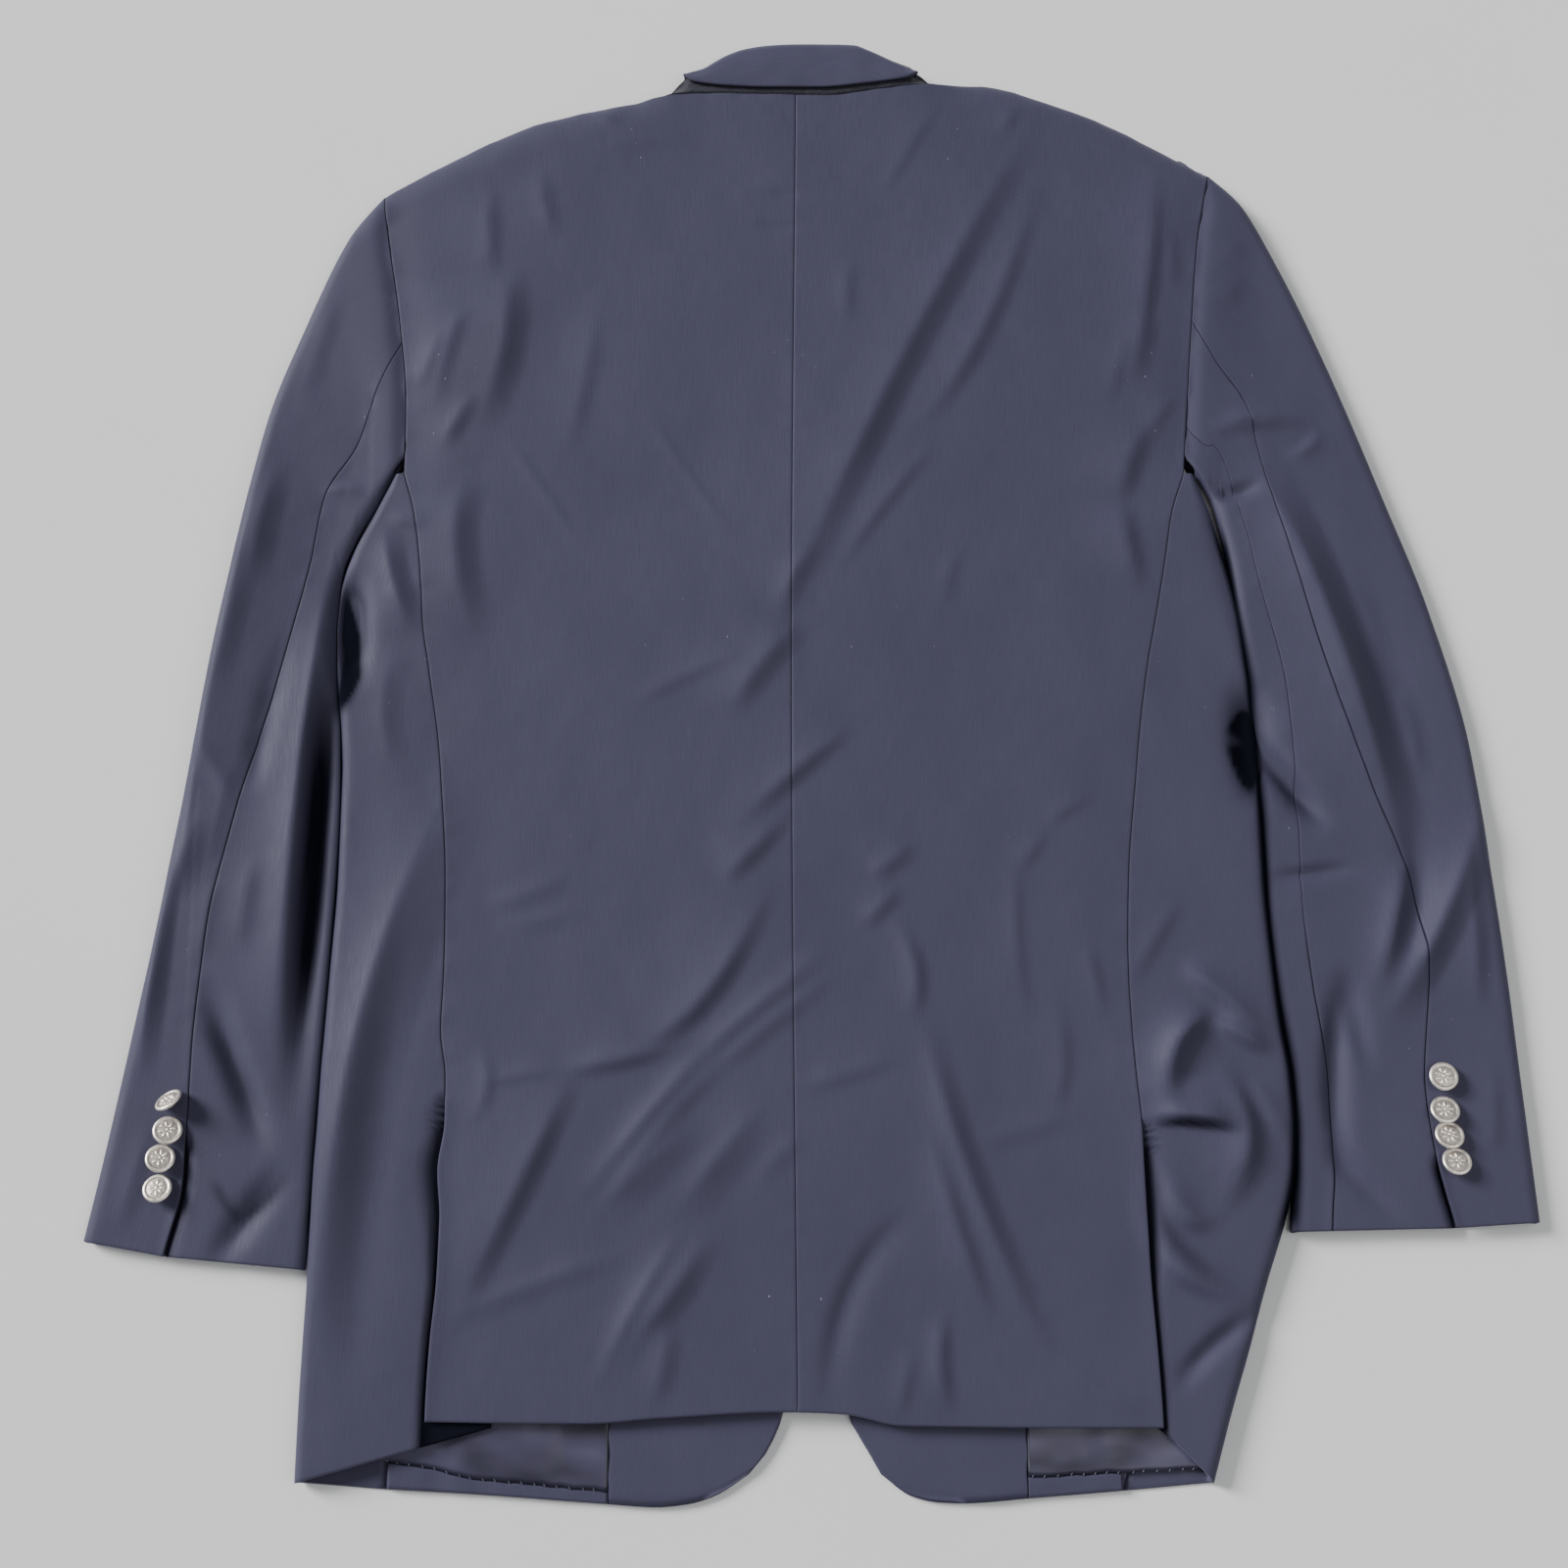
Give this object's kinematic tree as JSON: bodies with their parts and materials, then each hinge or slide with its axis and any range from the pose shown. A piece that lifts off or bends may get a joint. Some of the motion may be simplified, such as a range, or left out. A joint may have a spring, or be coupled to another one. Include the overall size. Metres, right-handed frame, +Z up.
{
  "type": "blazer",
  "caption": "Tailored blazer laid flat with its back up, its sleeves beside the body, its side vents closed and metal buttons on the cuffs.",
  "frame": {"origin": "middle of the bounding box on the floor that the blazer lies on", "axes": "+Y from the hem to the collar, +X towards the wearer's right side, +Z up from the floor through the back"},
  "size_m": [0.7878, 0.8647, 0.0223],
  "materials": {
    "cloth": "plain-woven wool with a low sheen",
    "lining": "smooth satin",
    "felt": "matte felt",
    "button": "polished metal"
  },
  "bodies": {
    "root": {"back_left": "cloth", "back_right": "cloth", "side_left": "cloth", "side_right": "cloth", "front_left": "cloth", "front_right": "cloth", "facing_left": "cloth", "facing_right": "cloth", "lining_left": "lining", "lining_right": "lining", "top_sleeve_left": "cloth", "top_sleeve_right": "cloth", "under_sleeve_left": "cloth", "under_sleeve_right": "cloth", "collar": "cloth", "under_collar": "felt", "lapel_left": "cloth", "lapel_right": "cloth", "pocket_flap_left": "cloth", "pocket_flap_right": "cloth", "cuff_button_left_1": "button", "cuff_button_left_2": "button", "cuff_button_left_3": "button", "cuff_button_left_4": "button", "cuff_button_right_1": "button", "cuff_button_right_2": "button", "cuff_button_right_3": "button", "cuff_button_right_4": "button", "front_button_1": "button", "front_button_2": "button"}
  },
  "joints": []
}
